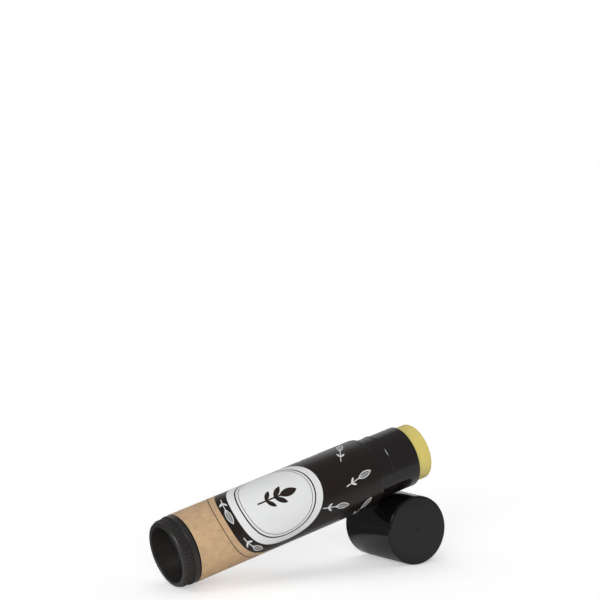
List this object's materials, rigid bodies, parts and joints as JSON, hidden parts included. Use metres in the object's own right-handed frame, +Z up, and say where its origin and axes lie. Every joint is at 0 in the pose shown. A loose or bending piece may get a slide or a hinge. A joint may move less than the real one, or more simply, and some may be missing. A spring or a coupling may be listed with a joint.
{
  "type": "lip balm stick",
  "caption": "Twist-up lip balm stick, open and leaning on its removed cap, with a ribbed thumbwheel, a threaded spindle, a carrier and a label wrap.",
  "frame": {"origin": "on the table, under the middle of the bounding box of the stick and its cap", "axes": "+X along the stick from the thumbwheel towards the balm, seen from above; +Y roughly along the lying cap towards its mouth; +Z up"},
  "size_m": [0.0712, 0.0182, 0.0315],
  "materials": {
    "cap_plastic": "polished black polypropylene",
    "barrel_plastic": "glossy black polypropylene",
    "label_paper": "printed kraft paper under a thin satin film, black field with a tan band",
    "wheel_plastic": "satin black polypropylene",
    "inner_plastic": "natural white moulded plastic",
    "balm_wax": "soft pale yellow beeswax balm"
  },
  "bodies": {
    "cap": {"cap": "cap_plastic"},
    "barrel": {"barrel": "barrel_plastic", "label": "label_paper"},
    "thumbwheel": {"thumbwheel": "wheel_plastic", "spindle": "inner_plastic"},
    "carrier": {"carrier": "inner_plastic", "balm": "balm_wax"}
  },
  "joints": [
    {"name": "stick_lift", "type": "slide", "parent": "cap", "child": "barrel", "axis": [0, 0, 1], "range_m": [0, 0.06]},
    {"name": "thumbwheel_turn", "type": "hinge", "parent": "barrel", "child": "thumbwheel", "pos_m": [-0.03182, -0.00111, 0.0078], "axis": [0.9646, 0, 0.2639], "range_deg": [-480, 4428]},
    {"name": "carrier_travel", "type": "slide", "parent": "barrel", "child": "carrier", "axis": [0.9646, 0, 0.2639], "range_m": [-0.004, 0.0369]}
  ],
  "couplings": [
    {"joint": "thumbwheel_turn", "follows": "carrier_travel", "rad_per_m": 2094.4}
  ]
}
